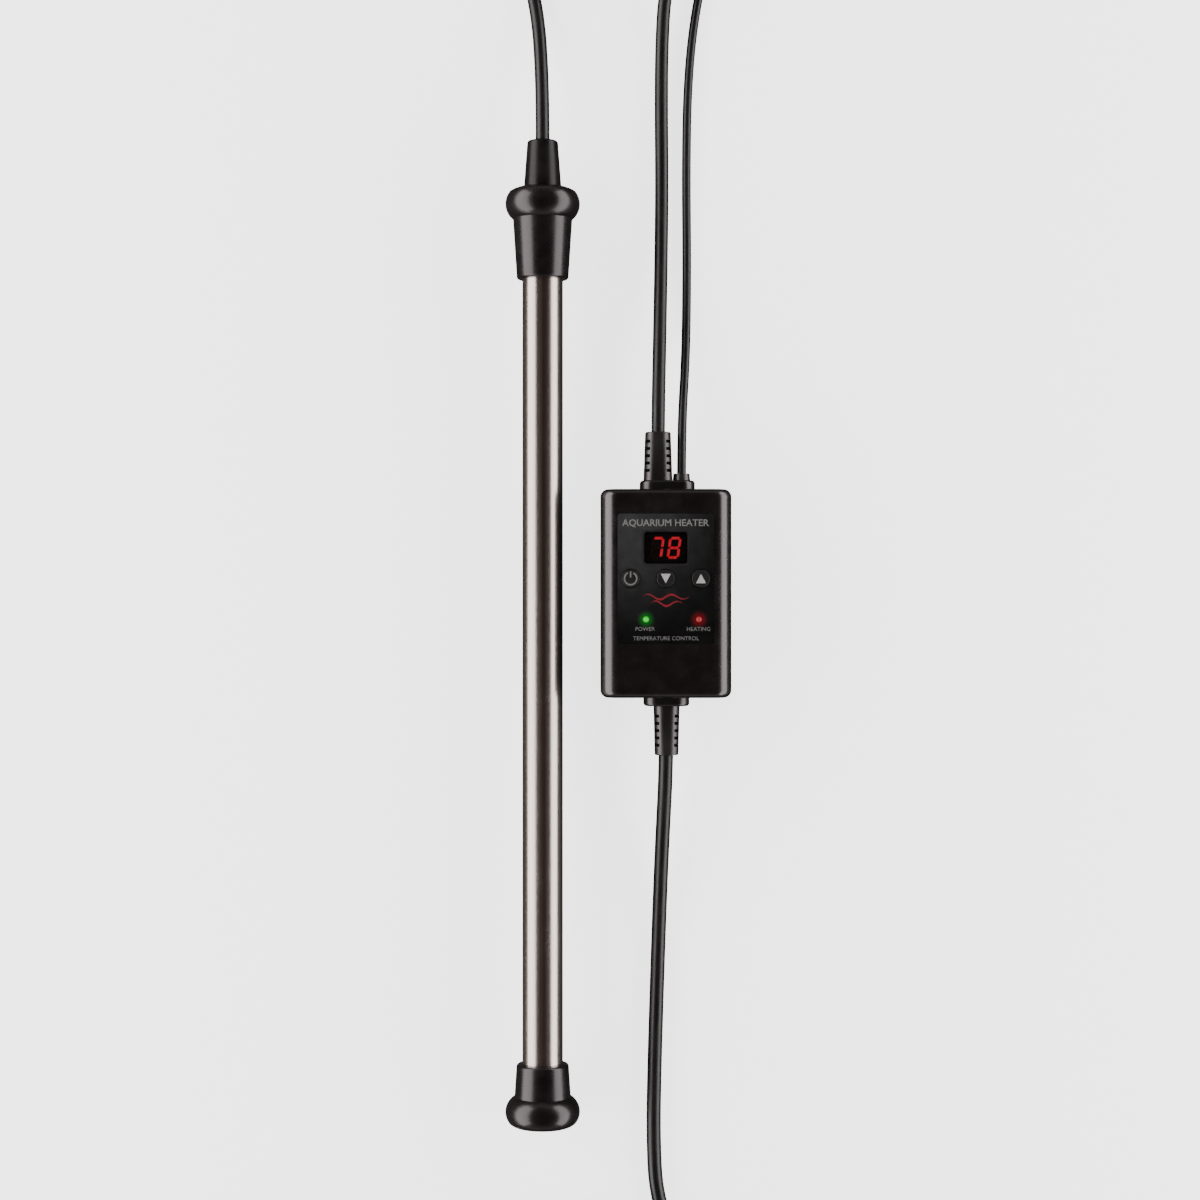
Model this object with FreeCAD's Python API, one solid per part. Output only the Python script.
"""Submersible aquarium heater: a titanium rod heater, its controller box and the three cords that join them.

Everything lies on one flat surface, z = 0, as it would on a bench.  +Y points towards the rod's cord end, +Z
is up through the controller's front face, and the origin is the middle of the bottom of the rod and the box
together.  All sizes are in millimetres.  Each piece is written to parts/ as one STEP file.
"""

import FreeCAD, Part
import math
import os

# Heater rod: visible stations, from the cord end to the foot
TUBE_D = 16.0
TUBE_SHOWN = 309.7
BEAD_D = TUBE_D + 13.4
RELIEF_LENGTH = 18.4
RELIEF_TIP_D = 12.1
RELIEF_BASE_D = 14.8
HEAD_BEAD_LENGTH = 12.6
HEAD_CONE_LENGTH = 23.7
HEAD_CONE_TOP_D = TUBE_D + 7.4
HEAD_CONE_LOW_D = TUBE_D + 4.5
FOOT_CONE_LENGTH = 12.8
FOOT_CONE_TOP_D = TUBE_D + 4.7
FOOT_CONE_LOW_D = TUBE_D + 6.2
FOOT_BEAD_LENGTH = 11.9
FOOT_SOLE_D = TUBE_D + 3.0
CAP_EDGE_R = 1.0
HEAD_FULL_SHARE = 0.55
HEAD_SHOULDER_IN = 1.7
HEAD_SHOULDER_DOWN = 1.7
HEAD_CROWN_IN = 3.6
HEAD_CROWN_DOWN = 0.75
HEAD_CROWN_FLAT = 2.8
FOOT_FULL_SHARE = 0.57
FOOT_TURN_IN = 1.5
FOOT_TURN_UP = 1.5
FOOT_CORNER_OUT = 2.2
FOOT_CORNER_UP = 0.5
ROD_MIDDLE_Y = 0.85

# Heater rod: inside
TUBE_WALL = 0.8
TUBE_END_WALL = 1.2
TUBE_IN_HEAD = 28.0
TUBE_IN_FOOT = 18.0
TUBE_FIT = 0.05
SPACER_THICKNESS = 4.0
SPACER_FIT = 0.1
HEATED_LENGTH = 250.0
CORE_D = 7.0
WIRE_D = 0.9
WIRE_PITCH = 5.0
TAIL_D = 1.6
TAIL_SPREAD = 2.7
TAIL_OUT = 2.0
TAIL_ROOM = 1.0
CRIMP_D = 2.6
CRIMP_LENGTH = 8.0
CUTOUT_D = 4.6
CUTOUT_LENGTH = 12.0
POTTING_LENGTH = 16.0
O_RING_SECTION = 2.0
O_RING_SPACING = 6.0
O_RING_SHARE = 0.45
O_RING_GROOVE = 1.2
SPIGOT_D = 10.4

# Where the controller lies beside the rod
ROD_TO_BOX_GAP = 8.1
BOX_CENTRE_Y = 16.65

# Controller housing
BOX_WIDTH = 51.4
BOX_HEIGHT = 81.7
BOX_DEPTH = 28.0
BOX_SIDE_R = 7.0
BOX_END_R = 3.0
CAVITY_END_R = 0.8
WALL = 2.2
SPLIT_Z = 11.0
LIP_HEIGHT = 2.0
LIP_THICKNESS = 1.0
LIP_FIT = 0.1
LIP_OUTER_R = 1.8
LIP_INNER_R = 0.8
SEAL_THICKNESS = 0.6

# Screws and their bosses
SCREW_X = 17.5
SCREW_Y = 33.0
BOSS_D = 6.2
BACK_BOSS_D = 8.2
BOSS_INTO_FACE = 0.5
SCREW_D = 3.0
SCREW_HEAD_D = 5.4
SCREW_HEAD_HEIGHT = 2.2
SCREW_HEAD_FIT = 0.2
SCREW_SEAT_Z = 11.0
SCREW_LENGTH = 13.0
SCREW_CLEARANCE = 0.2
SCREW_HEAD_R = 0.7
SCREW_SLOT = (3.2, 0.8, 2.2)
SCREW_HOLE_SPARE = 0.5

# Printed front overlay, its window, keys and lamps, measured from the overlay's own centre
OVERLAY_WIDTH = 37.5
OVERLAY_HEIGHT = 50.6
OVERLAY_THICKNESS = 0.4
OVERLAY_FIT = 0.1
OVERLAY_CORNER_R = 1.0
OVERLAY_X = -0.25
OVERLAY_Y = 5.8
WINDOW_WIDTH = 16.6
WINDOW_HEIGHT = 12.2
WINDOW_Y = 12.0
WINDOW_CORNER_R = 1.2
LENS_FIT = 0.1
LENS_SINK = 0.1
LENS_THICKNESS = 1.7
KEY_PITCH = 13.7
KEY_D = 7.0
KEY_GAP = 0.3
KEY_PROUD = 0.15
KEY_FLANGE_D = 9.0
KEY_FLANGE_THICKNESS = 1.0
KEY_FLANGE_GAP = 0.2
KEY_STEM_D = 3.2
KEY_EDGE_R = 0.25
LAMP_Y = -15.9
LAMP_GREEN_X = -7.7
LAMP_RED_X = 12.95
LAMP_D = 3.0
LAMP_FIT = 0.1
LAMP_PROUD = 0.3
LAMP_BODY = 6.0
LAMP_RIM_D = 3.8
LAMP_RIM_THICKNESS = 1.0
LAMP_LEAD_D = 0.5
LAMP_LEAD_SPACING = 1.27

# Two-digit display
DIGIT_HEIGHT = 8.6
DIGIT_WIDTH = 4.9
DIGIT_STROKE = 1.05
DIGIT_SLANT = 0.14
DIGIT_PITCH = 6.6
SEGMENT_THICKNESS = 0.12
SEGMENT_GAP = 0.22
DISPLAY_MARGIN = 0.5
DISPLAY_BELOW_LENS = 0.2

# Circuit board and what it carries
BOARD_WIDTH = 43.0
BOARD_HEIGHT = 73.0
BOARD_THICKNESS = 1.6
BOARD_Z = 17.2
BOARD_CORNER_R = 2.0
SWITCH_SIZE = 6.0
SWITCH_HEIGHT = 3.5
PLUNGER_D = 3.4
PLUNGER_HEIGHT = 3.0
PLUNGER_IN_BODY = 1.5
PLUNGER_GAP = 0.25
SWITCH_FLOOR = 1.0
BLOCK_EDGE_R = 0.6
CHIP_SIZE = (9.0, 7.0, 1.6)
CHIP_AT = (2.0, -22.0)
RELAY_SIZE = (15.0, 19.0, 11.0)
RELAY_AT = (9.0, 12.0)
TRANSFORMER_SIZE = (17.0, 15.0, 12.0)
TRANSFORMER_AT = (-9.0, -8.0)
TRANSFORMER_CORE_SHARE = 0.55
TRANSFORMER_WINDING_SHARE = (0.6, 0.8)
TRANSFORMER_WINDING_R = 1.5
CAPACITOR_D = 8.0
CAPACITOR_LENGTH = 12.0
CAPACITOR_AT = ((7.0, -16.0), (16.0, -16.0))
FUSE_D = 5.2
FUSE_LENGTH = 20.0
FUSE_AT = (-12.0, 11.0)
FUSE_CAP_LENGTH = 5.0
FUSE_CAP_WALL = 0.3
TERMINAL_SIZE = (15.0, 8.0, 9.0)
MAINS_TERMINAL_AT = (0.5, -29.0)
HEATER_TERMINAL_AT = (-4.0, 28.5)
SENSOR_SOCKET_SIZE = (6.0, 5.0, 6.0)
SENSOR_SOCKET_AT = (8.5, 28.5)

# Glands in the two ends of the box, measured across from the box's centre line
GLAND_Z = 14.0
GLAND_DEPTH = 14.0
GLAND_NECK_MARGIN = 2.0
GLAND_INNER_LIP = 1.5
GLAND_EDGE_R = 1.2
GLAND_SIDE_FLAT = 1.5
TOP_PLATE_X = 0.7
TOP_PLATE_WIDTH = 21.7
TOP_PLATE_HEIGHT = 3.7
LOW_PLATE_X = 0.35
LOW_PLATE_WIDTH = 18.1
LOW_PLATE_HEIGHT = 3.5
TOP_RELIEF_X = -2.95
TOP_RELIEF_BASE = 11.4
TOP_RELIEF_TIP = 10.1
TOP_RELIEF_LENGTH = 19.2
LOW_RELIEF_X = 0.45
LOW_RELIEF_BASE = 10.3
LOW_RELIEF_TIP = 9.4
LOW_RELIEF_LENGTH = 19.4
RELIEF_CORNER_R = 4.2
RELIEF_NOTCHES = 5
RELIEF_NOTCH_HEIGHT = 1.2
RELIEF_NOTCH_SHARE = 0.4
RELIEF_NOTCH_PITCH = 2.87
RELIEF_WEB = 1.2
RELIEF_FIRST_NOTCH = 3.9
RELIEF_NECK_WALL = 1.2
RELIEF_TIP_R = 0.5
SENSOR_GROMMET_X = 6.35
SENSOR_GROMMET_BASE_D = 7.0
SENSOR_GROMMET_TIP_D = 6.4
SENSOR_GROMMET_LENGTH = 2.8
CORD_END_INSIDE = 5.0

# Cords
HEATER_CORD_D = 5.5
SENSOR_CORD_D = 3.6
MAINS_CORD_D = 5.8
CORE_WIRE_D = 1.4
CORE_WIRE_SPREAD = 1.6
FLOOR_GAP = 0.05
TURN_PITCH = 1.03
COIL_STUB = 24.0
COIL_BEVEL = 0.22
COIL_SLACK = 0.3
CORD_IN_RELIEF = 8.0
ARC_SHARE = 0.45

# Sensor probe
PROBE_D = 6.5
PROBE_LENGTH = 26.0
PROBE_RELIEF_LENGTH = 10.0
PROBE_RELIEF_TIP_D = 4.8
SLEEVE_OVERLAP = 3.0
PROBE_TAIL = 16.0
PROBE_TAIL_STEPS = ((0.0, 0.0), (5.0, 0.2), (11.0, 1.0), (16.0, 1.0))

# Mains plug with two flat blades and a round earth pin
PLUG_FACE_WIDTH = 27.0
PLUG_FACE_HEIGHT = 23.0
PLUG_FACE_THICKNESS = 6.0
PLUG_CORNER_R = 6.0
PLUG_GRIP_LENGTH = 26.0
PLUG_GRIP_FRONT = (23.0, 19.0)
PLUG_GRIP_BACK = (14.0, 13.0)
PLUG_GRIP_CORNER_R = 4.0
PLUG_RELIEF_LENGTH = 18.0
PLUG_RELIEF_BASE = 10.6
PLUG_RELIEF_TIP = 8.6
BLADE_SPACING = 12.7
BLADE_WIDTH = 6.35
BLADE_THICKNESS = 1.5
BLADE_LENGTH = 16.0
BLADE_BELOW_CENTRE = 4.0
EARTH_PIN_D = 4.76
EARTH_PIN_LENGTH = 20.6
EARTH_PIN_ABOVE_BLADES = 11.9
EARTH_PIN_TIP_R = 2.18
EARTH_SHANK_D = 3.6
PIN_ROOT = 5.0
BLADE_TIP_CHAMFER = 0.4
PLUG_RIM_R = 1.0
PLUG_GAP_TO_RELIEF = 4.0

# Places worked out from the sizes above
ROD_LENGTH = (RELIEF_LENGTH + HEAD_BEAD_LENGTH + HEAD_CONE_LENGTH + TUBE_SHOWN
              + FOOT_CONE_LENGTH + FOOT_BEAD_LENGTH)
OVERALL_WIDTH = BEAD_D + ROD_TO_BOX_GAP + BOX_WIDTH
ROD_X = (BEAD_D - OVERALL_WIDTH) / 2
ROD_Z = BEAD_D / 2
BOX_X = (OVERALL_WIDTH - BOX_WIDTH) / 2
BOX_TOP = BOX_CENTRE_Y + BOX_HEIGHT / 2
BOX_LOW = BOX_CENTRE_Y - BOX_HEIGHT / 2
ROD_TOP = ROD_LENGTH / 2 + ROD_MIDDLE_Y
HEAD_TOP = ROD_TOP - RELIEF_LENGTH
HEAD_CONE_TOP = HEAD_TOP - HEAD_BEAD_LENGTH
HEAD_LOW = HEAD_CONE_TOP - HEAD_CONE_LENGTH
FOOT_TOP = HEAD_LOW - TUBE_SHOWN
FOOT_BEAD_TOP = FOOT_TOP - FOOT_CONE_LENGTH
ROD_LOW = FOOT_BEAD_TOP - FOOT_BEAD_LENGTH
TUBE_TOP = HEAD_LOW + TUBE_IN_HEAD
TUBE_LOW = FOOT_TOP - TUBE_IN_FOOT
TUBE_BORE_D = TUBE_D - 2 * TUBE_WALL
LOWER_SPACER_TOP = TUBE_LOW + TUBE_END_WALL + SPACER_THICKNESS
CORE_TOP = LOWER_SPACER_TOP + HEATED_LENGTH
UPPER_SPACER_TOP = CORE_TOP + SPACER_THICKNESS
JOINT_LOW = UPPER_SPACER_TOP + TAIL_OUT
WINDING_R = CORE_D / 2 + WIRE_D
POTTING_LOW = TUBE_TOP - POTTING_LENGTH
FACE_X = BOX_X + OVERLAY_X
FACE_Y = BOX_CENTRE_Y + OVERLAY_Y
INNER_Z = BOX_DEPTH - WALL
BOARD_TOP = BOARD_Z + BOARD_THICKNESS
LENS_TOP = BOX_DEPTH - LENS_SINK
LENS_LOW = LENS_TOP - LENS_THICKNESS
DISPLAY_TOP = LENS_LOW - DISPLAY_BELOW_LENS
SWITCH_TOP = BOARD_TOP + SWITCH_HEIGHT
PLUNGER_LOW = SWITCH_TOP - PLUNGER_IN_BODY
PLUNGER_TOP = PLUNGER_LOW + PLUNGER_HEIGHT
TOP_RELIEF_CENTRE = BOX_X + TOP_RELIEF_X
SENSOR_CENTRE = BOX_X + SENSOR_GROMMET_X
LOW_RELIEF_CENTRE = BOX_X + LOW_RELIEF_X
TOP_PLATE_TOP = BOX_TOP + TOP_PLATE_HEIGHT
LOW_PLATE_LOW = BOX_LOW - LOW_PLATE_HEIGHT
HEATER_CORD_Z = HEATER_CORD_D / 2 + FLOOR_GAP
SENSOR_CORD_Z = SENSOR_CORD_D / 2 + FLOOR_GAP
MAINS_CORD_Z = MAINS_CORD_D / 2 + FLOOR_GAP
PLUG_Z = PLUG_FACE_HEIGHT / 2

# Neat coils: centre, outer turn's radius, where the cord joins and leaves, whole turns, the way it winds.
# The two at the cord end lie past the rod's head, the mains one past the foot.
HEATER_COIL = dict(x=-7.5, y=ROD_TOP + 106.6, radius=40.0, joins=200.0, leaves=-20.0, turns=5, way=-1)
SENSOR_COIL = dict(x=11.5, y=ROD_TOP + 182.6, radius=29.0, joins=0.0, leaves=150.0, turns=8, way=1)
MAINS_COIL = dict(x=-10.0, y=ROD_LOW - 86.3, radius=44.0, joins=21.3, leaves=0.0, turns=7, way=-1)

os.makedirs("parts", exist_ok=True)


def save(node, shape):
    """Write one node, after checking that it is sound."""
    if not shape.isValid() or shape.Volume <= 0:
        raise ValueError("bad shape: " + node)
    shape.exportStep("parts/" + node + ".step")


def vec(x, y, z):
    return FreeCAD.Vector(x, y, z)


def group(shapes):
    """Separate solids of one node."""
    return Part.makeCompound(list(shapes))


def box(centre, size):
    """Block by its centre in x and y and its lowest z: centre (x, y, z_low), size (x, y, z)."""
    low = vec(centre[0] - size[0] / 2, centre[1] - size[1] / 2, centre[2])
    return Part.makeBox(size[0], size[1], size[2], low)


def round_box(centre, size, radius):
    """Block with rounded upright edges."""
    block = box(centre, size)
    upright = [e for e in block.Edges if abs(e.tangentAt(0).z) > 0.9]
    return block.makeFillet(radius, upright)


def upright_disc(x, y, z_low, z_high, diameter):
    return Part.makeCylinder(diameter / 2, z_high - z_low, vec(x, y, z_low))


def rod_disc(y_low, y_high, diameter, x=ROD_X, z=ROD_Z):
    """Cylinder along Y, on the rod's axis unless told otherwise."""
    return Part.makeCylinder(diameter / 2, y_high - y_low, vec(x, y_low, z), vec(0, 1, 0))


def ring(y_low, y_high, outer_d, inner_d):
    """Plain sleeve on the rod's axis."""
    return rod_disc(y_low, y_high, outer_d).cut(rod_disc(y_low - 1, y_high + 1, inner_d))


def turned(outline):
    """Solid of revolution about the rod's axis.

    The outline is a list of (y, radius) points.  An arc is a pair of pairs: ((y, radius) on the arc,
    (y, radius) at its end).
    """
    edges = []
    first = vec(ROD_X + outline[0][1], outline[0][0], ROD_Z)
    here = first
    for step in outline[1:]:
        if isinstance(step[0], tuple):
            middle = vec(ROD_X + step[0][1], step[0][0], ROD_Z)
            there = vec(ROD_X + step[1][1], step[1][0], ROD_Z)
            edges.append(Part.Arc(here, middle, there).toShape())
        else:
            there = vec(ROD_X + step[1], step[0], ROD_Z)
            edges.append(Part.LineSegment(here, there).toShape())
        here = there
    edges.append(Part.LineSegment(here, first).toShape())
    face = Part.Face(Part.Wire(edges))
    return face.revolve(vec(ROD_X, 0, ROD_Z), vec(0, 1, 0), 360)


# ---- Heater rod ----

def titanium_tube():
    """Sheath, open at the head and closed at the foot."""
    outside = rod_disc(TUBE_LOW, TUBE_TOP, TUBE_D)
    rim = [e for e in outside.Edges if e.BoundBox.YMax < TUBE_LOW + 0.01]
    outside = outside.makeFillet(TUBE_WALL, rim)
    return outside.cut(rod_disc(TUBE_LOW + TUBE_END_WALL, TUBE_TOP + 1, TUBE_BORE_D))


def heating_winding():
    """Resistance wire, close wound on the core: a sleeve with one rounded rib for each turn."""
    turns = round(HEATED_LENGTH / WIRE_PITCH)
    pitch = HEATED_LENGTH / turns
    valley = CORE_D / 2 + WIRE_D / 3
    outline = [(LOWER_SPACER_TOP, CORE_D / 2), (LOWER_SPACER_TOP, valley)]
    for turn in range(turns):
        low = LOWER_SPACER_TOP + turn * pitch
        outline.append(((low + pitch / 2, WINDING_R), (low + pitch, valley)))
    outline.append((CORE_TOP, CORE_D / 2))
    return turned(outline)


def end_spacer(y_low, tails):
    """Ceramic disc that centres the core, with holes for the tails where they pass."""
    disc = rod_disc(y_low, y_low + SPACER_THICKNESS, TUBE_BORE_D - 2 * SPACER_FIT)
    if tails:
        for side in (-1, 1):
            x = ROD_X + side * TAIL_SPREAD
            disc = disc.cut(rod_disc(y_low - 1, y_low + SPACER_THICKNESS + 1, TAIL_D, x))
    return disc


def winding_tails():
    """Two stiff wires from the winding to their joints."""
    places = [ROD_X + side * TAIL_SPREAD for side in (-1, 1)]
    return group(rod_disc(CORE_TOP, JOINT_LOW, TAIL_D, x) for x in places)


def supply_wires():
    """Two insulated wires from the joints up to the end of the heater lead."""
    high = HEAD_TOP - CORD_IN_RELIEF
    wires = []
    for side, low in ((-1, JOINT_LOW + CRIMP_LENGTH), (1, JOINT_LOW + CUTOUT_LENGTH)):
        wires.append(rod_disc(low, high, TAIL_D, ROD_X + side * TAIL_SPREAD))
    return group(wires)


def potting_plug():
    plug = rod_disc(POTTING_LOW, TUBE_TOP, TUBE_BORE_D)
    for side in (-1, 1):
        x = ROD_X + side * TAIL_SPREAD
        plug = plug.cut(rod_disc(POTTING_LOW - 1, TUBE_TOP + 1, TAIL_D, x))
    return plug


def o_ring(y):
    around = TUBE_D / 2 + O_RING_SECTION / 2
    return Part.makeTorus(around, O_RING_SECTION / 2, vec(ROD_X, y, ROD_Z), vec(0, 1, 0))


def o_ring_places():
    first = HEAD_LOW + HEAD_CONE_LENGTH * O_RING_SHARE
    return (first, first + O_RING_SPACING)


def head_cap():
    """Moulded head: a round collar over a tapered socket for the tube."""
    bead = BEAD_D / 2
    shoulder = (HEAD_TOP - HEAD_SHOULDER_DOWN, bead - HEAD_SHOULDER_IN)
    crown = (HEAD_TOP - HEAD_CROWN_DOWN, bead - HEAD_CROWN_IN)
    outline = [
        (HEAD_LOW, 0.0),
        (HEAD_LOW, HEAD_CONE_LOW_D / 2 - CAP_EDGE_R),
        ((HEAD_LOW + CAP_EDGE_R * 0.3, HEAD_CONE_LOW_D / 2 - CAP_EDGE_R * 0.3),
         (HEAD_LOW + CAP_EDGE_R, HEAD_CONE_LOW_D / 2)),
        (HEAD_CONE_TOP, HEAD_CONE_TOP_D / 2),
        ((HEAD_TOP - HEAD_BEAD_LENGTH * HEAD_FULL_SHARE, bead), shoulder),
        (crown, (HEAD_TOP, crown[1] - HEAD_CROWN_FLAT)),
        (HEAD_TOP, 0.0),
    ]
    cap = turned(outline)
    cap = cap.cut(rod_disc(HEAD_LOW - 1, TUBE_TOP, TUBE_D + 2 * TUBE_FIT))
    cap = cap.cut(rod_disc(TUBE_TOP - 1, HEAD_TOP + 1, SPIGOT_D))
    groove_d = TUBE_D + 2 * O_RING_SECTION
    for y in o_ring_places():
        half = O_RING_SECTION * O_RING_GROOVE / 2
        cap = cap.cut(rod_disc(y - half, y + half, groove_d))
    return cap


def head_relief():
    """Tapered sleeve that the heater lead leaves through, plugged into the head."""
    tip = RELIEF_TIP_D / 2
    outline = [
        (HEAD_TOP, 0.0),
        (HEAD_TOP, RELIEF_BASE_D / 2),
        (ROD_TOP - CAP_EDGE_R, tip + 0.05),
        ((ROD_TOP - CAP_EDGE_R * 0.3, tip - CAP_EDGE_R * 0.25), (ROD_TOP, tip - CAP_EDGE_R)),
        (ROD_TOP, 0.0),
    ]
    sleeve = turned(outline).fuse(rod_disc(TUBE_TOP, HEAD_TOP, SPIGOT_D)).removeSplitter()
    sleeve = sleeve.cut(rod_disc(ROD_TOP - CORD_IN_RELIEF, ROD_TOP + 1, HEATER_CORD_D))
    wires = rod_disc(TUBE_TOP - 1, ROD_TOP - CORD_IN_RELIEF, 2 * TAIL_SPREAD + TAIL_D + TAIL_ROOM)
    return sleeve.cut(wires)


def foot_cap():
    """Moulded foot: a tapered socket over a round bead with a flat sole."""
    bead_full = FOOT_BEAD_TOP - FOOT_BEAD_LENGTH * FOOT_FULL_SHARE
    bead_turn = (ROD_LOW + FOOT_TURN_UP, BEAD_D / 2 - FOOT_TURN_IN)
    outline = [
        (ROD_LOW, 0.0),
        (ROD_LOW, FOOT_SOLE_D / 2),
        ((ROD_LOW + FOOT_CORNER_UP, FOOT_SOLE_D / 2 + FOOT_CORNER_OUT), bead_turn),
        ((bead_full, BEAD_D / 2), (FOOT_BEAD_TOP, FOOT_CONE_LOW_D / 2)),
        (FOOT_TOP - CAP_EDGE_R, FOOT_CONE_TOP_D / 2),
        ((FOOT_TOP - CAP_EDGE_R * 0.3, FOOT_CONE_TOP_D / 2 - CAP_EDGE_R * 0.3),
         (FOOT_TOP, FOOT_CONE_TOP_D / 2 - CAP_EDGE_R)),
        (FOOT_TOP, 0.0),
    ]
    return turned(outline).cut(rod_disc(TUBE_LOW, FOOT_TOP + 1, TUBE_D + 2 * TUBE_FIT))


def build_rod():
    save("titanium_tube", titanium_tube())
    save("ceramic_core", rod_disc(LOWER_SPACER_TOP, CORE_TOP, CORE_D))
    save("heating_winding", heating_winding())
    save("magnesia_fill", ring(LOWER_SPACER_TOP, CORE_TOP, TUBE_BORE_D, 2 * WINDING_R))
    spacers = [end_spacer(LOWER_SPACER_TOP - SPACER_THICKNESS, False), end_spacer(CORE_TOP, True)]
    save("ceramic_spacers", group(spacers))
    save("winding_tails", winding_tails())
    save("tail_crimp", rod_disc(JOINT_LOW, JOINT_LOW + CRIMP_LENGTH, CRIMP_D, ROD_X - TAIL_SPREAD))
    save("thermal_cutout", rod_disc(JOINT_LOW, JOINT_LOW + CUTOUT_LENGTH, CUTOUT_D, ROD_X + TAIL_SPREAD))
    save("supply_wires", supply_wires())
    save("potting_plug", potting_plug())
    save("sealing_rings", group(o_ring(y) for y in o_ring_places()))
    save("head_cap", head_cap())
    save("head_strain_relief", head_relief())
    save("foot_cap", foot_cap())


# ---- Controller housing ----

def pillow(inset):
    """The housing's outer shape, or its cavity when inset by the wall."""
    size = (BOX_WIDTH - 2 * inset, BOX_HEIGHT - 2 * inset, BOX_DEPTH - 2 * inset)
    block = box((BOX_X, BOX_CENTRE_Y, inset), size)
    sides = [e for e in block.Edges if abs(e.tangentAt(0).y) > 0.9]
    block = block.makeFillet(BOX_SIDE_R - inset, sides)
    ends = [e for e in block.Edges if e.BoundBox.YLength < 0.001]
    return block.makeFillet(max(BOX_END_R - inset, CAVITY_END_R), ends)


def lip(height, grow):
    """Upright ring that the two shells share along their joint."""
    inner = (BOX_WIDTH - 2 * WALL, BOX_HEIGHT - 2 * WALL, height + 2)
    outer = (inner[0] + 2 * (LIP_THICKNESS + grow), inner[1] + 2 * (LIP_THICKNESS + grow), height)
    outside = round_box((BOX_X, BOX_CENTRE_Y, SPLIT_Z), outer, LIP_OUTER_R + grow)
    inside = round_box((BOX_X, BOX_CENTRE_Y, SPLIT_Z - 1), inner, LIP_INNER_R)
    return outside.cut(inside)


def screw_places():
    for side in (-1, 1):
        for end in (-1, 1):
            yield BOX_X + side * SCREW_X, BOX_CENTRE_Y + end * SCREW_Y


def gland_necks():
    """The two openings that the gland plates' necks fill."""
    return [gland_block("top", "neck"), gland_block("low", "neck")]


def front_shell():
    """Front half: face, sides, bosses and every opening in the face."""
    shell = pillow(0).cut(pillow(WALL))
    half = box((BOX_X, BOX_CENTRE_Y, SPLIT_Z), (2 * BOX_WIDTH, 2 * BOX_HEIGHT, BOX_DEPTH))
    shell = shell.common(half)
    shell = shell.cut(lip(LIP_HEIGHT + SEAL_THICKNESS, LIP_FIT))
    for x, y in screw_places():
        shell = shell.fuse(upright_disc(x, y, BOARD_TOP, INNER_Z + BOSS_INTO_FACE, BOSS_D))
    hole_top = SCREW_SEAT_Z + SCREW_LENGTH + SCREW_HOLE_SPARE
    for x, y in screw_places():
        shell = shell.cut(upright_disc(x, y, BOARD_TOP - 1, hole_top, SCREW_D))
    recess = (OVERLAY_WIDTH + 2 * OVERLAY_FIT, OVERLAY_HEIGHT + 2 * OVERLAY_FIT, 1.0)
    shell = shell.cut(round_box((FACE_X, FACE_Y, BOX_DEPTH - OVERLAY_THICKNESS), recess, OVERLAY_CORNER_R))
    shell = shell.cut(window_block(INNER_Z - 1, BOX_DEPTH + 1, LENS_FIT))
    for hole in face_holes(INNER_Z - 1, BOX_DEPTH + 1):
        shell = shell.cut(hole)
    for neck in gland_necks():
        shell = shell.cut(neck)
    return shell.removeSplitter()


def back_shell():
    """Back half: flat back, lip and counterbored screw bosses."""
    shell = pillow(0).cut(pillow(WALL))
    half = box((BOX_X, BOX_CENTRE_Y, -1), (2 * BOX_WIDTH, 2 * BOX_HEIGHT, SPLIT_Z + 1))
    shell = shell.common(half).fuse(lip(LIP_HEIGHT, 0))
    for x, y in screw_places():
        shell = shell.fuse(upright_disc(x, y, WALL / 2, BOARD_Z, BACK_BOSS_D))
    head_d = SCREW_HEAD_D + 2 * SCREW_HEAD_FIT
    for x, y in screw_places():
        shell = shell.cut(upright_disc(x, y, -1, SCREW_SEAT_Z, head_d))
        shell = shell.cut(upright_disc(x, y, SCREW_SEAT_Z - 1, BOARD_Z + 1, SCREW_D + 2 * SCREW_CLEARANCE))
    for neck in gland_necks():
        shell = shell.cut(neck)
    return shell.removeSplitter()


def housing_seal():
    """Flat ring squeezed between the lip and its groove, left out where the glands pass."""
    inner = (BOX_WIDTH - 2 * WALL, BOX_HEIGHT - 2 * WALL, 4.0)
    outer = (inner[0] + 2 * LIP_THICKNESS, inner[1] + 2 * LIP_THICKNESS, SEAL_THICKNESS)
    low = SPLIT_Z + LIP_HEIGHT
    outside = round_box((BOX_X, BOX_CENTRE_Y, low), outer, LIP_OUTER_R)
    seal = outside.cut(round_box((BOX_X, BOX_CENTRE_Y, low - 1), inner, LIP_INNER_R))
    for neck in gland_necks():
        seal = seal.cut(neck)
    return seal


def housing_screw(x, y):
    """Pan-head screw with a cross recess, head down."""
    head = upright_disc(x, y, SCREW_SEAT_Z - SCREW_HEAD_HEIGHT, SCREW_SEAT_Z, SCREW_HEAD_D)
    rim = [e for e in head.Edges if e.BoundBox.ZMax < SCREW_SEAT_Z - SCREW_HEAD_HEIGHT + 0.01]
    head = head.makeFillet(SCREW_HEAD_R, rim)
    screw = head.fuse(upright_disc(x, y, SCREW_SEAT_Z, SCREW_SEAT_Z + SCREW_LENGTH, SCREW_D))
    slot_low = SCREW_SEAT_Z - SCREW_HEAD_HEIGHT - 1
    for size in (SCREW_SLOT, (SCREW_SLOT[1], SCREW_SLOT[0], SCREW_SLOT[2])):
        screw = screw.cut(box((x, y, slot_low), size))
    return screw.removeSplitter()


# ---- Front face ----

def window_block(z_low, z_high, grow):
    size = (WINDOW_WIDTH + 2 * grow, WINDOW_HEIGHT + 2 * grow, z_high - z_low)
    return round_box((FACE_X, FACE_Y + WINDOW_Y, z_low), size, WINDOW_CORNER_R)


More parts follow.
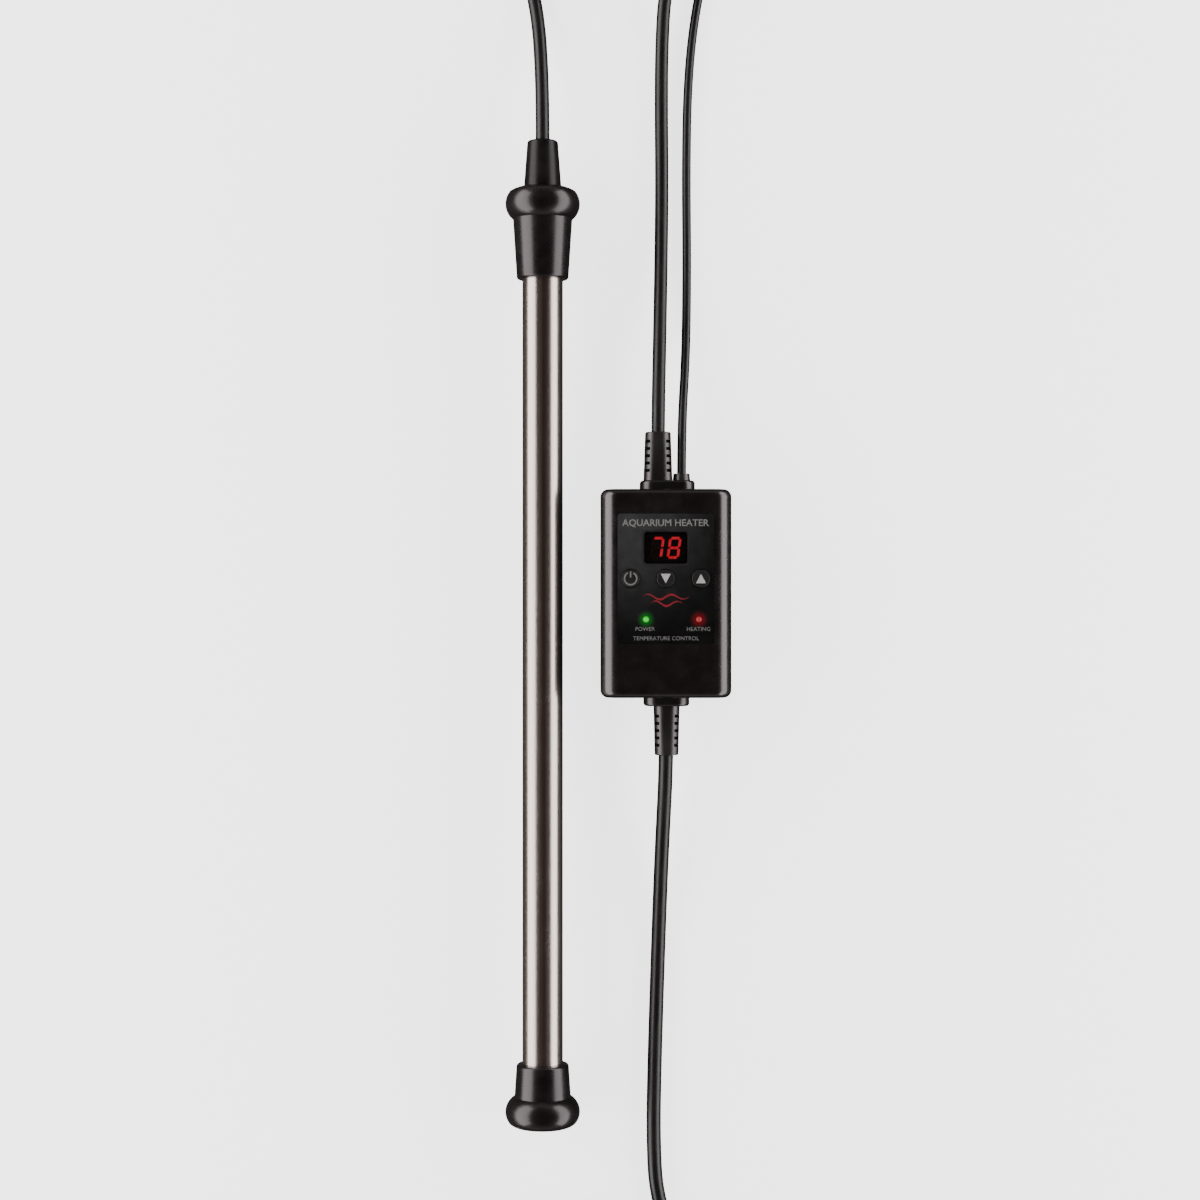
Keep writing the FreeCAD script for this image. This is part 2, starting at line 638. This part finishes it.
def key_places():
    """Key name, x and y, left to right."""
    names = ("power", "down", "up")
    return [(name, FACE_X + (index - 1) * KEY_PITCH, FACE_Y) for index, name in enumerate(names)]


def lamp_places():
    return [("green", FACE_X + LAMP_GREEN_X, FACE_Y + LAMP_Y), ("red", FACE_X + LAMP_RED_X, FACE_Y + LAMP_Y)]


def face_holes(z_low, z_high):
    """Round openings for the keys and the lamps."""
    holes = [upright_disc(x, y, z_low, z_high, KEY_D + 2 * KEY_GAP) for _, x, y in key_places()]
    holes += [upright_disc(x, y, z_low, z_high, LAMP_D + 2 * LAMP_FIT) for _, x, y in lamp_places()]
    return holes


def overlay():
    """Thin printed sheet in the face's recess."""
    low = BOX_DEPTH - OVERLAY_THICKNESS
    size = (OVERLAY_WIDTH, OVERLAY_HEIGHT, OVERLAY_THICKNESS)
    sheet = round_box((FACE_X, FACE_Y, low), size, OVERLAY_CORNER_R)
    for hole in face_holes(low - 1, BOX_DEPTH + 1):
        sheet = sheet.cut(hole)
    return sheet.cut(window_block(low - 1, BOX_DEPTH + 1, LENS_FIT))


def key_cap(x, y):
    """Round key with a flange behind the face and a stem down to its switch."""
    top = BOX_DEPTH + KEY_PROUD
    flange_top = INNER_Z - KEY_FLANGE_GAP
    flange_low = flange_top - KEY_FLANGE_THICKNESS
    button = upright_disc(x, y, flange_top, top, KEY_D)
    rim = [e for e in button.Edges if e.BoundBox.ZMin > top - 0.01]
    button = button.makeFillet(KEY_EDGE_R, rim)
    key = button.fuse(upright_disc(x, y, flange_low, flange_top, KEY_FLANGE_D))
    return key.fuse(upright_disc(x, y, PLUNGER_TOP, flange_low, KEY_STEM_D)).removeSplitter()


def switch_body(x, y):
    body = round_box((x, y, BOARD_TOP), (SWITCH_SIZE, SWITCH_SIZE, SWITCH_HEIGHT), BLOCK_EDGE_R)
    hole_d = PLUNGER_D + 2 * PLUNGER_GAP
    return body.cut(upright_disc(x, y, BOARD_TOP + SWITCH_FLOOR, SWITCH_TOP + 1, hole_d))


def lamp(x, y):
    """Round lamp with a domed tip that stands just proud of the overlay, on its two leads."""
    tip = BOX_DEPTH + LAMP_PROUD
    shoulder = tip - LAMP_D / 2
    low = tip - LAMP_BODY
    body = upright_disc(x, y, low, shoulder, LAMP_D)
    dome = Part.makeSphere(LAMP_D / 2, vec(x, y, shoulder))
    rim = upright_disc(x, y, low, low + LAMP_RIM_THICKNESS, LAMP_RIM_D)
    leads = [upright_disc(x + side * LAMP_LEAD_SPACING, y, BOARD_TOP, low, LAMP_LEAD_D) for side in (-1, 1)]
    return group([body.fuse([dome, rim]).removeSplitter()] + leads)


# ---- Display ----

def segment(start, end, origin):
    """One bar of a digit, pointed at both ends, slanted with the digit."""
    half = DIGIT_STROKE / 2
    dx, dy = end[0] - start[0], end[1] - start[1]
    length = math.hypot(dx, dy)
    along = (dx / length, dy / length)
    across = (-along[1], along[0])
    outline = []
    for step, side in ((0, 0), (half, 1), (length - half, 1), (length, 0), (length - half, -1), (half, -1)):
        step = min(max(step, SEGMENT_GAP), length - SEGMENT_GAP)
        x = start[0] + along[0] * step + across[0] * side * half
        y = start[1] + along[1] * step + across[1] * side * half
        outline.append(vec(origin[0] + x + DIGIT_SLANT * y, origin[1] + y, DISPLAY_TOP))
    face = Part.Face(Part.makePolygon(outline + outline[:1]))
    return face.extrude(vec(0, 0, SEGMENT_THICKNESS))


def digit(origin, letters):
    """The named bars (a to g) of one digit."""
    w = (DIGIT_WIDTH - DIGIT_STROKE) / 2
    h = (DIGIT_HEIGHT - DIGIT_STROKE) / 2
    bars = {"a": ((-w, h), (w, h)), "b": ((w, 0), (w, h)), "c": ((w, -h), (w, 0)), "d": ((-w, -h), (w, -h)),
            "e": ((-w, -h), (-w, 0)), "f": ((-w, 0), (-w, h)), "g": ((-w, 0), (w, 0))}
    return [segment(bars[name][0], bars[name][1], origin) for name in letters]


def build_display():
    centre = (FACE_X, FACE_Y + WINDOW_Y)
    left = (centre[0] - DIGIT_PITCH / 2, centre[1])
    right = (centre[0] + DIGIT_PITCH / 2, centre[1])
    size = (WINDOW_WIDTH - 2 * DISPLAY_MARGIN, WINDOW_HEIGHT - 2 * DISPLAY_MARGIN, DISPLAY_TOP - BOARD_TOP)
    save("display_module", box((centre[0], centre[1], BOARD_TOP), size))
    save("display_lit_segments", group(digit(left, "abc") + digit(right, "abcdefg")))
    save("display_unlit_segments", group(digit(left, "defg")))
    save("display_lens", window_block(LENS_LOW, LENS_TOP, 0))


# ---- Inside the box ----

def circuit_board():
    size = (BOARD_WIDTH, BOARD_HEIGHT, BOARD_THICKNESS)
    board = round_box((BOX_X, BOX_CENTRE_Y, BOARD_Z), size, BOARD_CORNER_R)
    for x, y in screw_places():
        board = board.cut(upright_disc(x, y, BOARD_Z - 1, BOARD_TOP + 1, SCREW_D + 2 * SCREW_CLEARANCE))
    return board


def hung(place, size, radius=0.0):
    """Block on the back of the board: place is (x, y) from the box's centre."""
    at = (BOX_X + place[0], BOX_CENTRE_Y + place[1], BOARD_Z - size[2])
    return round_box(at, size, radius) if radius else box(at, size)


def transformer():
    """Laminated core with its winding standing out at both sides."""
    width, height, depth = TRANSFORMER_SIZE
    core = hung(TRANSFORMER_AT, (width, height * TRANSFORMER_CORE_SHARE, depth))
    across, deep = TRANSFORMER_WINDING_SHARE
    winding = hung(TRANSFORMER_AT, (width * across, height, depth * deep), TRANSFORMER_WINDING_R)
    return core.fuse(winding).removeSplitter()


def capacitors():
    cans = []
    for x, y in CAPACITOR_AT:
        low = vec(BOX_X + x, BOX_CENTRE_Y + y - CAPACITOR_LENGTH / 2, BOARD_Z - CAPACITOR_D / 2)
        cans.append(Part.makeCylinder(CAPACITOR_D / 2, CAPACITOR_LENGTH, low, vec(0, 1, 0)))
    return group(cans)


def fuse_link():
    """Ceramic barrel fuse and its two end caps."""
    x = BOX_X + FUSE_AT[0]
    y = BOX_CENTRE_Y + FUSE_AT[1]
    z = BOARD_Z - FUSE_D / 2
    low, high = y - FUSE_LENGTH / 2, y + FUSE_LENGTH / 2
    barrel = rod_disc(low + FUSE_CAP_LENGTH, high - FUSE_CAP_LENGTH, FUSE_D - 2 * FUSE_CAP_WALL, x, z)
    caps = [rod_disc(end, end + FUSE_CAP_LENGTH, FUSE_D, x, z) for end in (low, high - FUSE_CAP_LENGTH)]
    return group([barrel] + caps)


def core_wires(x_cord, y_cord, y_block, count):
    """Short insulated wires from a cord's end to its terminals."""
    low, high = sorted((y_cord, y_block))
    places = [x_cord + (index - (count - 1) / 2) * CORE_WIRE_SPREAD for index in range(count)]
    return [rod_disc(low, high, CORE_WIRE_D, x, GLAND_Z - CORE_WIRE_D) for x in places]


def build_electronics():
    save("circuit_board", circuit_board())
    save("controller_chip", box((BOX_X + CHIP_AT[0], BOX_CENTRE_Y + CHIP_AT[1], BOARD_TOP), CHIP_SIZE))
    save("relay", hung(RELAY_AT, RELAY_SIZE, BLOCK_EDGE_R))
    save("transformer", transformer())
    save("capacitors", capacitors())
    save("fuse", fuse_link())
    blocks = [hung(MAINS_TERMINAL_AT, TERMINAL_SIZE, BLOCK_EDGE_R),
              hung(HEATER_TERMINAL_AT, TERMINAL_SIZE, BLOCK_EDGE_R),
              hung(SENSOR_SOCKET_AT, SENSOR_SOCKET_SIZE, BLOCK_EDGE_R)]
    save("terminal_blocks", group(blocks))
    save("switch_bodies", group(switch_body(x, y) for _, x, y in key_places()))
    top_end = BOX_TOP - WALL - CORD_END_INSIDE
    low_end = BOX_LOW + WALL + CORD_END_INSIDE
    heater_block = BOX_CENTRE_Y + HEATER_TERMINAL_AT[1] + TERMINAL_SIZE[1] / 2
    sensor_block = BOX_CENTRE_Y + SENSOR_SOCKET_AT[1] + SENSOR_SOCKET_SIZE[1] / 2
    mains_block = BOX_CENTRE_Y + MAINS_TERMINAL_AT[1] - TERMINAL_SIZE[1] / 2
    wires = core_wires(TOP_RELIEF_CENTRE, top_end, heater_block, 3)
    wires += core_wires(SENSOR_CENTRE, top_end, sensor_block, 2)
    wires += core_wires(LOW_RELIEF_CENTRE, low_end, mains_block, 3)
    save("core_wires", group(wires))


# ---- Glands ----

def gland_block(end, part):
    """A gland plate's outer flange, its neck through the wall, or its inner lip."""
    if end == "top":
        face, outward, x, width, height = BOX_TOP, 1, BOX_X + TOP_PLATE_X, TOP_PLATE_WIDTH, TOP_PLATE_HEIGHT
    else:
        face, outward, x, width, height = BOX_LOW, -1, BOX_X + LOW_PLATE_X, LOW_PLATE_WIDTH, LOW_PLATE_HEIGHT
    margin = GLAND_NECK_MARGIN if part == "neck" else 0.0
    inward = {"flange": 0.0, "neck": WALL, "lip": WALL + GLAND_INNER_LIP}[part]
    start = face - outward * inward
    thickness = {"flange": height, "neck": WALL, "lip": GLAND_INNER_LIP}[part]
    low = start if outward > 0 else start - thickness
    size = (width - 2 * margin, thickness, GLAND_DEPTH - margin)
    block = Part.makeBox(size[0], size[1], size[2], vec(x - size[0] / 2, low, GLAND_Z - size[2] / 2))
    along = [e for e in block.Edges if abs(e.tangentAt(0).y) > 0.9]
    block = block.makeFillet(size[2] / 2 - GLAND_SIDE_FLAT, along)
    if part != "flange":
        return block
    outer_y = face + outward * height
    rim = [e for e in block.Edges if e.BoundBox.YLength < 0.01 and abs(e.BoundBox.YMin - outer_y) < 0.01]
    return block.makeFillet(GLAND_EDGE_R, rim)


def gland_plate(end, holes):
    """Plate held in the housing's end wall, bored for each (x, diameter)."""
    plate = gland_block(end, "flange").fuse([gland_block(end, "neck"), gland_block(end, "lip")])
    for x, diameter in holes:
        plate = plate.cut(rod_disc(BOX_LOW - 20, BOX_TOP + 20, diameter, x, GLAND_Z))
    return plate.removeSplitter()


def square_wire(x, y, z, width, height, radius):
    """Rounded rectangle across the Y axis."""
    low = vec(x - width / 2, y - 0.5, z - height / 2)
    block = Part.makeBox(width, 1.0, height, low)
    along = [e for e in block.Edges if abs(e.tangentAt(0).y) > 0.9]
    block = block.makeFillet(radius, along)
    return block.slice(vec(0, 1, 0), y)[0]


def ribbed_relief(x, z, y_base, outward, base, tip, length, cord_d, neck):
    """Tapered sleeve with notches from above and, half a pitch on, from below: a web is left between."""
    y_tip = y_base + outward * length
    wires = [square_wire(x, y_base, z, base, base, RELIEF_CORNER_R),
             square_wire(x, y_tip, z, tip, tip, RELIEF_CORNER_R)]
    body = Part.makeLoft(wires, True, True)
    tip_edges = [e for e in body.Edges if e.BoundBox.YLength < 0.01 and abs(e.BoundBox.YMin - y_tip) < 0.01]
    body = body.makeFillet(RELIEF_TIP_R, tip_edges)
    for index in range(RELIEF_NOTCHES):
        for start, shift in ((z + RELIEF_WEB / 2, 0.0), (z - RELIEF_WEB / 2 - base, 0.5)):
            along = RELIEF_FIRST_NOTCH + (index + shift) * RELIEF_NOTCH_PITCH
            half = (base + (tip - base) * along / length) / 2
            depth = half * RELIEF_NOTCH_SHARE
            for side in (-1, 1):
                at = (x + side * (half - depth / 2 + 1), y_base + outward * along, start)
                body = body.cut(box(at, (depth + 2, RELIEF_NOTCH_HEIGHT, base)))
    low, high = sorted((y_base, y_base - outward * neck))
    if neck:
        body = body.fuse(rod_disc(low, high, cord_d + 2 * RELIEF_NECK_WALL, x, z))
    bore_low, bore_high = sorted((y_tip + outward, y_base - outward * (neck + 1)))
    return body.cut(rod_disc(bore_low, bore_high, cord_d, x, z)).removeSplitter()


def sensor_grommet():
    """Small tapered sleeve beside the ribbed one, with its neck through the plate."""
    cone = Part.makeCone(SENSOR_GROMMET_BASE_D / 2, SENSOR_GROMMET_TIP_D / 2, SENSOR_GROMMET_LENGTH,
                         vec(SENSOR_CENTRE, TOP_PLATE_TOP, GLAND_Z), vec(0, 1, 0))
    neck_low = BOX_TOP - WALL - GLAND_INNER_LIP
    neck = rod_disc(neck_low, TOP_PLATE_TOP, SENSOR_CORD_D + 2 * RELIEF_NECK_WALL, SENSOR_CENTRE, GLAND_Z)
    sleeve = cone.fuse(neck)
    top = TOP_PLATE_TOP + SENSOR_GROMMET_LENGTH + 1
    return sleeve.cut(rod_disc(neck_low - 1, top, SENSOR_CORD_D, SENSOR_CENTRE, GLAND_Z)).removeSplitter()


def build_glands():
    heater_neck = HEATER_CORD_D + 2 * RELIEF_NECK_WALL
    sensor_neck = SENSOR_CORD_D + 2 * RELIEF_NECK_WALL
    mains_neck = MAINS_CORD_D + 2 * RELIEF_NECK_WALL
    top_holes = [(TOP_RELIEF_CENTRE, heater_neck), (SENSOR_CENTRE, sensor_neck)]
    save("top_gland_plate", gland_plate("top", top_holes))
    save("low_gland_plate", gland_plate("low", [(LOW_RELIEF_CENTRE, mains_neck)]))
    top_neck = TOP_PLATE_HEIGHT + WALL + GLAND_INNER_LIP
    save("heater_lead_relief", ribbed_relief(TOP_RELIEF_CENTRE, GLAND_Z, TOP_PLATE_TOP, 1, TOP_RELIEF_BASE,
                                             TOP_RELIEF_TIP, TOP_RELIEF_LENGTH, HEATER_CORD_D, top_neck))
    low_neck = LOW_PLATE_HEIGHT + WALL + GLAND_INNER_LIP
    save("mains_lead_relief", ribbed_relief(LOW_RELIEF_CENTRE, GLAND_Z, LOW_PLATE_LOW, -1, LOW_RELIEF_BASE,
                                            LOW_RELIEF_TIP, LOW_RELIEF_LENGTH, MAINS_CORD_D, low_neck))
    save("sensor_lead_grommet", sensor_grommet())


def build_box():
    save("housing_front", front_shell())
    save("housing_back", back_shell())
    save("housing_seal", housing_seal())
    save("housing_screws", group(housing_screw(x, y) for x, y in screw_places()))
    save("overlay_label", overlay())
    for name, x, y in key_places():
        save("key_" + name, key_cap(x, y))
        save("plunger_" + name, upright_disc(x, y, PLUNGER_LOW, PLUNGER_TOP, PLUNGER_D))
    for name, x, y in lamp_places():
        save("lamp_" + name, lamp(x, y))


# ---- Cords ----

def cord_tube(name, points, diameter):
    """Round cord along straight runs joined by tangent arcs, each as large as its two runs allow."""
    path = [vec(*p) for p in points]
    edges = []
    radii = []
    here = path[0]
    for before, corner, after in zip(path, path[1:], path[2:]):
        into = (corner - before).normalize()
        out = (after - corner).normalize()
        turn = into.getAngle(out)
        shorter = min((corner - before).Length, (after - corner).Length)
        reach = ARC_SHARE * shorter
        radii.append(reach / math.tan(turn / 2))
        start = corner - into * reach
        end = corner + out * reach
        middle_way = (out - into).normalize()
        sag = radii[-1] * (1 / math.cos(turn / 2) - 1)
        edges.append(Part.LineSegment(here, start).toShape())
        edges.append(Part.Arc(start, corner + middle_way * sag, end).toShape())
        here = end
    edges.append(Part.LineSegment(here, path[-1]).toShape())
    spine = Part.Wire(edges)
    section = Part.Wire(Part.makeCircle(diameter / 2, path[0], path[1] - path[0]))
    tube = spine.makePipeShell([section], True, False)
    expected = math.pi * diameter ** 2 / 4 * spine.Length
    print("%s: length %.1f mm, smallest radius %.1f mm, volume %.3f of section x length"
          % (name, spine.Length, min(radii), tube.Volume / expected))
    save(name, tube)
    return spine.Length


def coil_end(coil, angle, z, stub):
    """Where a cord meets a coil's outer turn, moved back (or on) by the stub along the tangent."""
    turn = math.radians(angle)
    way = coil["way"]
    x = coil["x"] + coil["radius"] * math.cos(turn) - way * math.sin(turn) * stub
    y = coil["y"] + coil["radius"] * math.sin(turn) + way * math.cos(turn) * stub
    return (x, y, z)


def coil_turns(coil):
    """Turns from where the cord joins the coil to where it leaves it."""
    swept = (coil["leaves"] - coil["joins"]) * coil["way"] % 360
    return coil["turns"] + swept / 360


def coil_inner_radius(coil, diameter):
    """Middle of the innermost turn: half the turns spiral in below, the other half spiral out on top."""
    return coil["radius"] - coil_turns(coil) / 2 * diameter * TURN_PITCH


def coil_solid(name, coil, diameter, leave_stub):
    """Outer shape of a two-layer coil, with a straight stub where the cord joins and one where it leaves."""
    inner = coil_inner_radius(coil, diameter)
    z = diameter / 2 + FLOOR_GAP
    centre = vec(coil["x"], coil["y"], 0)
    height = 2 * diameter + 2 * FLOOR_GAP
    body = Part.makeCylinder(coil["radius"] + diameter / 2 + COIL_SLACK, height, centre)
    body = body.cut(Part.makeCylinder(inner - diameter / 2 - COIL_SLACK, height, centre))
    rims = [e for e in body.Edges if e.BoundBox.ZLength < 0.01]
    body = body.makeChamfer(diameter * COIL_BEVEL, rims)
    for angle, level, stub in ((coil["joins"], z, -COIL_STUB), (coil["leaves"], z + diameter, leave_stub)):
        start = vec(*coil_end(coil, angle, level, 0))
        end = vec(*coil_end(coil, angle, level, stub))
        body = body.fuse(Part.makeCylinder(diameter / 2, abs(stub), start, end - start))
    mean = (coil["radius"] + inner) / 2
    length = coil_turns(coil) * 2 * math.pi * mean + COIL_STUB + leave_stub
    print("%s: %.2f turns, inner radius %.1f mm, about %.0f mm of cord"
          % (name, coil_turns(coil), inner, length))
    save(name, body.removeSplitter())
    return length


def build_heater_lead():
    """From the rod's head, through its coil, to the box's ribbed sleeve."""
    low = HEATER_CORD_Z
    high = low + HEATER_CORD_D
    leaving = [
        (ROD_X, ROD_TOP - CORD_IN_RELIEF, ROD_Z),
        (ROD_X, ROD_TOP + 11.1, ROD_Z),
        (-30.3, ROD_TOP + 29.6, 10.2),
        (-31.5, ROD_TOP + 47.6, 4.4),
        (-34.0, ROD_TOP + 62.6, low),
        coil_end(HEATER_COIL, HEATER_COIL["joins"], low, -COIL_STUB),
    ]
    returning = [
        coil_end(HEATER_COIL, HEATER_COIL["leaves"], high, COIL_STUB),
        (18.6, ROD_TOP + 59.6, 7.0),
        (17.6, ROD_TOP + 40.6, 3.9),
        (17.4, ROD_TOP + 16.6, low),
        (17.7, ROD_TOP - 15.4, low),
        (17.3, TOP_PLATE_TOP + 87.8, 4.2),
        (16.6, TOP_PLATE_TOP + 56.8, 10.4),
        (TOP_RELIEF_CENTRE, TOP_PLATE_TOP + 21.8, GLAND_Z),
        (TOP_RELIEF_CENTRE, BOX_TOP - WALL - CORD_END_INSIDE, GLAND_Z),
    ]
    total = cord_tube("heater_lead_rod_end", leaving, HEATER_CORD_D)
    total += coil_solid("heater_lead_coil", HEATER_COIL, HEATER_CORD_D, COIL_STUB)
    total += cord_tube("heater_lead_box_end", returning, HEATER_CORD_D)
    print("heater lead: %.0f mm" % total)


def build_sensor_lead():
    """From the box's small sleeve, through its coil, to the probe."""
    low = SENSOR_CORD_Z
    high = low + SENSOR_CORD_D
    leaving = [
        (SENSOR_CENTRE, BOX_TOP - WALL - CORD_END_INSIDE, GLAND_Z),
        (SENSOR_CENTRE, TOP_PLATE_TOP + 7.8, GLAND_Z),
        (25.6, TOP_PLATE_TOP + 27.8, 11.3),
        (26.8, TOP_PLATE_TOP + 44.8, 6.0),
        (27.5, TOP_PLATE_TOP + 62.8, low + 0.4),
        (27.7, TOP_PLATE_TOP + 90.8, low),
        (27.4, ROD_TOP - 9.4, low),
        (27.9, ROD_TOP + 23.6, low),
        (30.4, ROD_TOP + 50.6, low),
        (35.4, ROD_TOP + 74.6, low),
        (39.4, ROD_TOP + 101.6, low),
        (40.5, ROD_TOP + 131.6, low),
        coil_end(SENSOR_COIL, SENSOR_COIL["joins"], low, -COIL_STUB),
    ]
    total = cord_tube("sensor_lead", leaving, SENSOR_CORD_D)
    total += coil_solid("sensor_lead_coil", SENSOR_COIL, SENSOR_CORD_D, PROBE_TAIL)
    start = vec(*coil_end(SENSOR_COIL, SENSOR_COIL["leaves"], high, PROBE_TAIL))
    along = (start - vec(*coil_end(SENSOR_COIL, SENSOR_COIL["leaves"], high, 0))).normalize()
    drop = vec(0, 0, PROBE_D / 2 + FLOOR_GAP - high)
    tail = [start + along * step + drop * share for step, share in PROBE_TAIL_STEPS]
    total += cord_tube("sensor_lead_tail", [tuple(p) for p in tail], SENSOR_CORD_D)
    build_probe(tail[-1] - along * SLEEVE_OVERLAP, along)
    print("sensor lead: %.0f mm" % total)


def build_probe(start, along):
    """Probe capsule with a round nose, and the tapered sleeve behind it."""
    sleeve = Part.makeCone(PROBE_RELIEF_TIP_D / 2, PROBE_D / 2, PROBE_RELIEF_LENGTH, start, along)
    sleeve = sleeve.cut(Part.makeCylinder(SENSOR_CORD_D / 2, SLEEVE_OVERLAP, start, along))
    save("probe_sleeve", sleeve)
    back = start + along * PROBE_RELIEF_LENGTH
    straight = PROBE_LENGTH - PROBE_D / 2
    body = Part.makeCylinder(PROBE_D / 2, straight, back, along)
    nose = Part.makeSphere(PROBE_D / 2, back + along * straight)
    save("sensor_probe", body.fuse(nose).removeSplitter())
    print("probe from", tuple(round(v, 2) for v in back), "along", tuple(round(v, 4) for v in along))


def build_mains_lead():
    """From the box's lower sleeve, through its coil, to the plug."""
    low = MAINS_CORD_Z
    high = low + MAINS_CORD_D
    leaving = [
        (LOW_RELIEF_CENTRE, BOX_LOW + WALL + CORD_END_INSIDE, GLAND_Z),
        (LOW_RELIEF_CENTRE, LOW_PLATE_LOW - 21.8, GLAND_Z),
        (17.6, LOW_PLATE_LOW - 54.3, 9.0),
        (16.6, LOW_PLATE_LOW - 84.3, low),
        (15.6, LOW_PLATE_LOW - 114.3, low),
        (14.7, ROD_LOW + 21.7, low),
        (14.2, ROD_LOW - 6.3, low),
        (15.3, ROD_LOW - 30.3, low),
        coil_end(MAINS_COIL, MAINS_COIL["joins"], low, -COIL_STUB),
    ]
    total = cord_tube("mains_lead", leaving, MAINS_CORD_D)
    total += coil_solid("mains_lead_coil", MAINS_COIL, MAINS_CORD_D, COIL_STUB)
    x, y, _ = coil_end(MAINS_COIL, MAINS_COIL["leaves"], high, COIL_STUB)
    tail = [(x, y, high), (x, y - 8.0, high + 0.7), (x, y - 17.0, PLUG_Z), (x, y - 25.0, PLUG_Z)]
    total += cord_tube("mains_lead_tail", tail, MAINS_CORD_D)
    build_plug(x, tail[-1][1] + PLUG_GAP_TO_RELIEF)
    print("mains lead: %.0f mm" % total)


def build_plug(x, y):
    """Moulded plug, its ribbed sleeve, two blades and the earth pin, pointing to -Y from y."""
    grip_back = y - PLUG_RELIEF_LENGTH
    grip_front = grip_back - PLUG_GRIP_LENGTH
    face = grip_front - PLUG_FACE_THICKNESS
    save("plug_relief", ribbed_relief(x, PLUG_Z, grip_back, 1, PLUG_RELIEF_BASE, PLUG_RELIEF_TIP,
                                      PLUG_RELIEF_LENGTH, MAINS_CORD_D, 0))
    wires = [square_wire(x, grip_back, PLUG_Z, PLUG_GRIP_BACK[0], PLUG_GRIP_BACK[1], PLUG_GRIP_CORNER_R),
             square_wire(x, grip_front, PLUG_Z, PLUG_GRIP_FRONT[0], PLUG_GRIP_FRONT[1], PLUG_GRIP_CORNER_R)]
    grip = Part.makeLoft(wires, True, True)
    low = vec(x - PLUG_FACE_WIDTH / 2, face, PLUG_Z - PLUG_FACE_HEIGHT / 2)
    flange = Part.makeBox(PLUG_FACE_WIDTH, PLUG_FACE_THICKNESS, PLUG_FACE_HEIGHT, low)
    along = [e for e in flange.Edges if abs(e.tangentAt(0).y) > 0.9]
    flange = flange.makeFillet(PLUG_CORNER_R, along)
    rims = [e for e in flange.Edges if e.BoundBox.YLength < 0.01]
    flange = flange.makeFillet(PLUG_RIM_R, rims)
    body = grip.fuse(flange)
    blade_z = PLUG_Z - BLADE_BELOW_CENTRE
    blades = []
    for side in (-1, 1):
        at = (x + side * BLADE_SPACING / 2, face + (PIN_ROOT - BLADE_LENGTH) / 2, blade_z - BLADE_WIDTH / 2)
        blade = box(at, (BLADE_THICKNESS, BLADE_LENGTH + PIN_ROOT, BLADE_WIDTH))
        upright = [e for e in blade.Edges if abs(e.tangentAt(0).z) > 0.9]
        tips = [e for e in upright if e.BoundBox.YMax < face - BLADE_LENGTH + 0.01]
        blades.append(blade.makeChamfer(BLADE_TIP_CHAMFER, tips))
    pin_z = blade_z + EARTH_PIN_ABOVE_BLADES
    pin = rod_disc(face - EARTH_PIN_LENGTH, face, EARTH_PIN_D, x, pin_z)
    tip = [e for e in pin.Edges if e.BoundBox.YMax < face - EARTH_PIN_LENGTH + 0.01]
    pin = pin.makeFillet(EARTH_PIN_TIP_R, tip)
    pin = pin.fuse(rod_disc(face, face + PIN_ROOT, EARTH_SHANK_D, x, pin_z))
    body = body.cut(blades + [pin]).removeSplitter()
    save("plug_body", body)
    save("plug_blades", group(blades))
    save("plug_earth_pin", pin)
    print("plug face at y %.2f, pin at x %.2f z %.2f" % (face, x, pin_z))


build_rod()
build_box()
build_display()
build_electronics()
build_glands()
build_heater_lead()
build_sensor_lead()
build_mains_lead()
